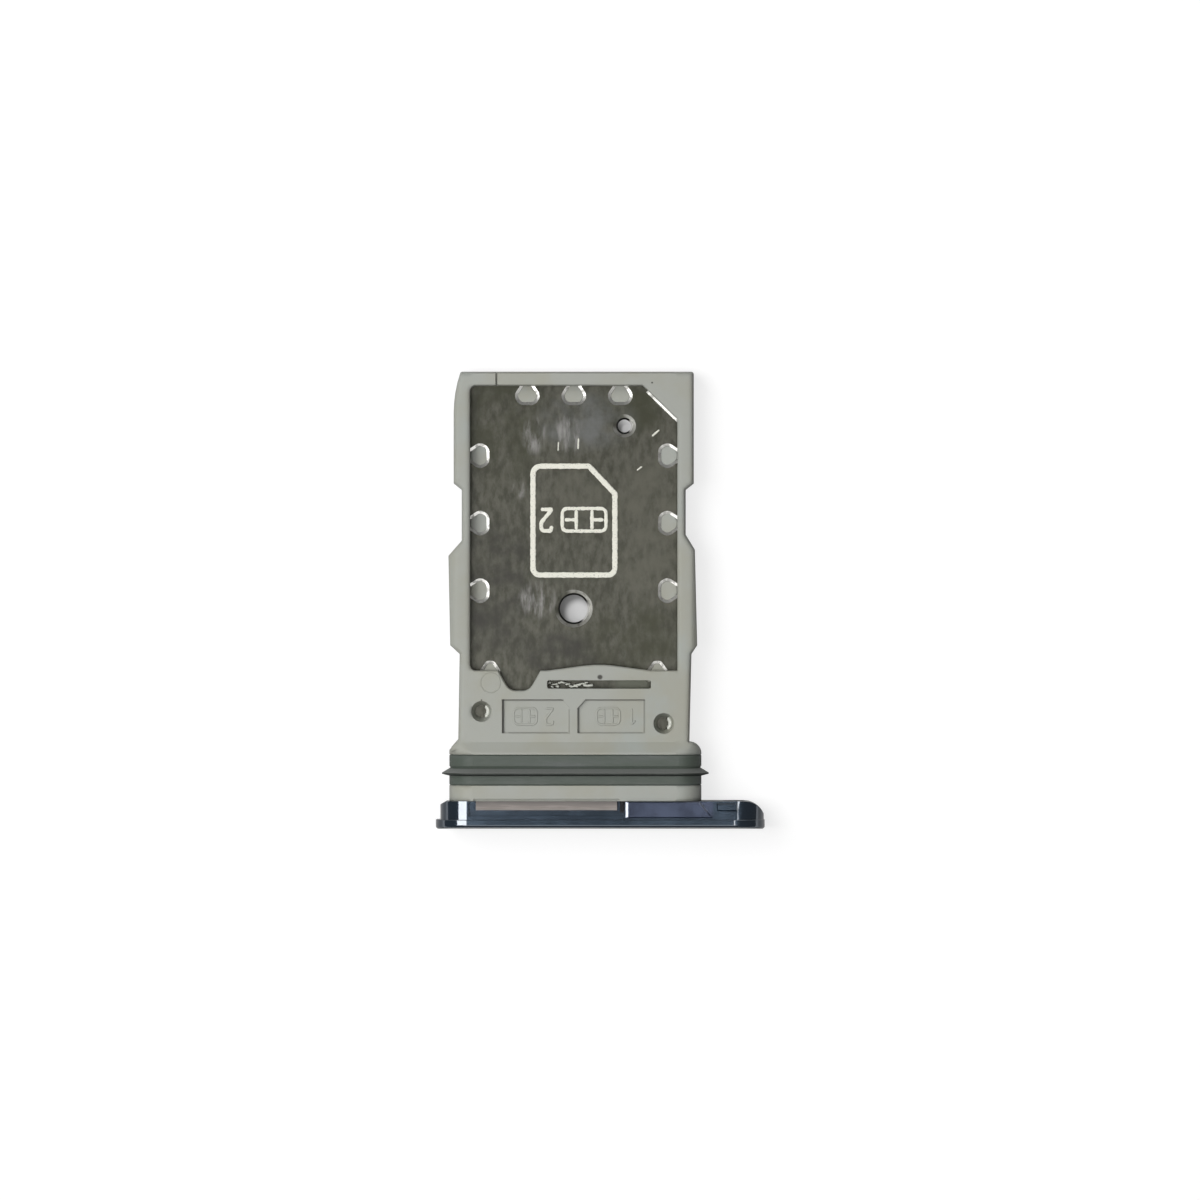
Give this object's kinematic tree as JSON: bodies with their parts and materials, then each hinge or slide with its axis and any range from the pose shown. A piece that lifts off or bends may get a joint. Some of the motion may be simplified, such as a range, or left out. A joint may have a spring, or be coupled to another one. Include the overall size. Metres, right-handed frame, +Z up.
{
  "type": "sim card tray",
  "caption": "Two-sided slide-in tray for nano cards: moulded frame round a punched steel plate, rubber seal on a rounded neck, metal face plate with an ejector hole.",
  "frame": {"origin": "middle of the tray's width and thickness, on the front of the face plate", "axes": "+Y along the tray to its tip, +X to the right where the ejector hole is, +Z up out of the face with the two card signs"},
  "size_m": [0.0143, 0.0199, 0.0028],
  "materials": {
    "frame_plastic": "pale grey-green moulded plastic with a fine spark-eroded texture",
    "plate_steel": "dark stainless sheet, dull on its faces and bright at the punched edges",
    "seal_rubber": "dark green-grey moulded rubber with a slight sheen",
    "face_metal": "dark blue anodised metal, polished"
  },
  "bodies": {
    "root": {"tray_frame": "frame_plastic", "card_plate": "plate_steel", "seal_ring": "seal_rubber", "face_plate": "face_metal"}
  },
  "joints": []
}
